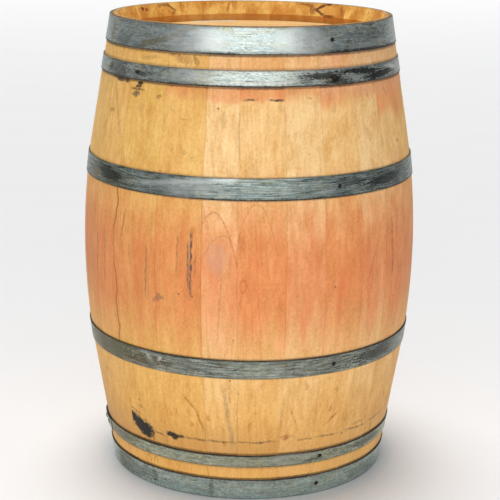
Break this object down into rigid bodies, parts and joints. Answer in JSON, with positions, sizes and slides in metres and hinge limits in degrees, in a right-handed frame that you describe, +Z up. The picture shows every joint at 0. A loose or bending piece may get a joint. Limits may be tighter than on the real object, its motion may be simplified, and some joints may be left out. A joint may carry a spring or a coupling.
{
  "type": "rain barrel",
  "caption": "Closed oak cask stood on end to hold rain water, its bulged staves bound by flared steel hoops, with boarded heads and a pull-out bung.",
  "frame": {"origin": "centre of the foot, on the floor the cask stands on", "axes": "+Z up the cask's axis; -Y is the front; +Y is the back, where the bung is; +X is to the right seen from the front"},
  "size_m": [0.6947, 0.6999, 0.95],
  "materials": {
    "stave_oak": "bare planed oak, weathered, pinkish round the bilge",
    "head_oak": "bare planed oak",
    "bung_wood": "bare turned hardwood",
    "dowel_wood": "bare",
    "rush": "dried flat rush leaf",
    "galvanised_steel": "hot-dip galvanised strap, spangled and scuffed",
    "rusty_iron": "dark rusty cut nail"
  },
  "bodies": {
    "cask": {"bilge_hoop_bottom": "galvanised_steel", "bilge_hoop_top": "galvanised_steel", "bottom_head_board_1": "head_oak", "bottom_head_board_2": "head_oak", "bottom_head_board_3": "head_oak", "bottom_head_board_4": "head_oak", "bottom_head_board_5": "head_oak", "bottom_head_board_6": "head_oak", "bottom_head_board_7": "head_oak", "bottom_head_dowels": "dowel_wood", "bottom_head_rushes": "rush", "bung_stave": "stave_oak", "head_hoop_bottom": "galvanised_steel", "head_hoop_top": "galvanised_steel", "hoop_nails": "rusty_iron", "hoop_rivets": "galvanised_steel", "quarter_hoop_bottom": "galvanised_steel", "quarter_hoop_top": "galvanised_steel", "stave_01": "stave_oak", "stave_02": "stave_oak", "stave_03": "stave_oak", "stave_04": "stave_oak", "stave_05": "stave_oak", "stave_06": "stave_oak", "stave_07": "stave_oak", "stave_08": "stave_oak", "stave_09": "stave_oak", "stave_10": "stave_oak", "stave_11": "stave_oak", "stave_12": "stave_oak", "stave_13": "stave_oak", "stave_14": "stave_oak", "stave_15": "stave_oak", "stave_16": "stave_oak", "stave_18": "stave_oak", "stave_19": "stave_oak", "stave_20": "stave_oak", "stave_21": "stave_oak", "stave_22": "stave_oak", "stave_23": "stave_oak", "stave_24": "stave_oak", "stave_25": "stave_oak", "stave_26": "stave_oak", "top_head_board_1": "head_oak", "top_head_board_2": "head_oak", "top_head_board_3": "head_oak", "top_head_board_4": "head_oak", "top_head_board_5": "head_oak", "top_head_board_6": "head_oak", "top_head_board_7": "head_oak", "top_head_dowels": "dowel_wood", "top_head_rushes": "rush"},
    "bung": {"bung": "bung_wood"}
  },
  "joints": [
    {"name": "bung_pull", "type": "slide", "parent": "cask", "child": "bung", "axis": [0, 1, 0], "range_m": [0, 0.12]}
  ]
}
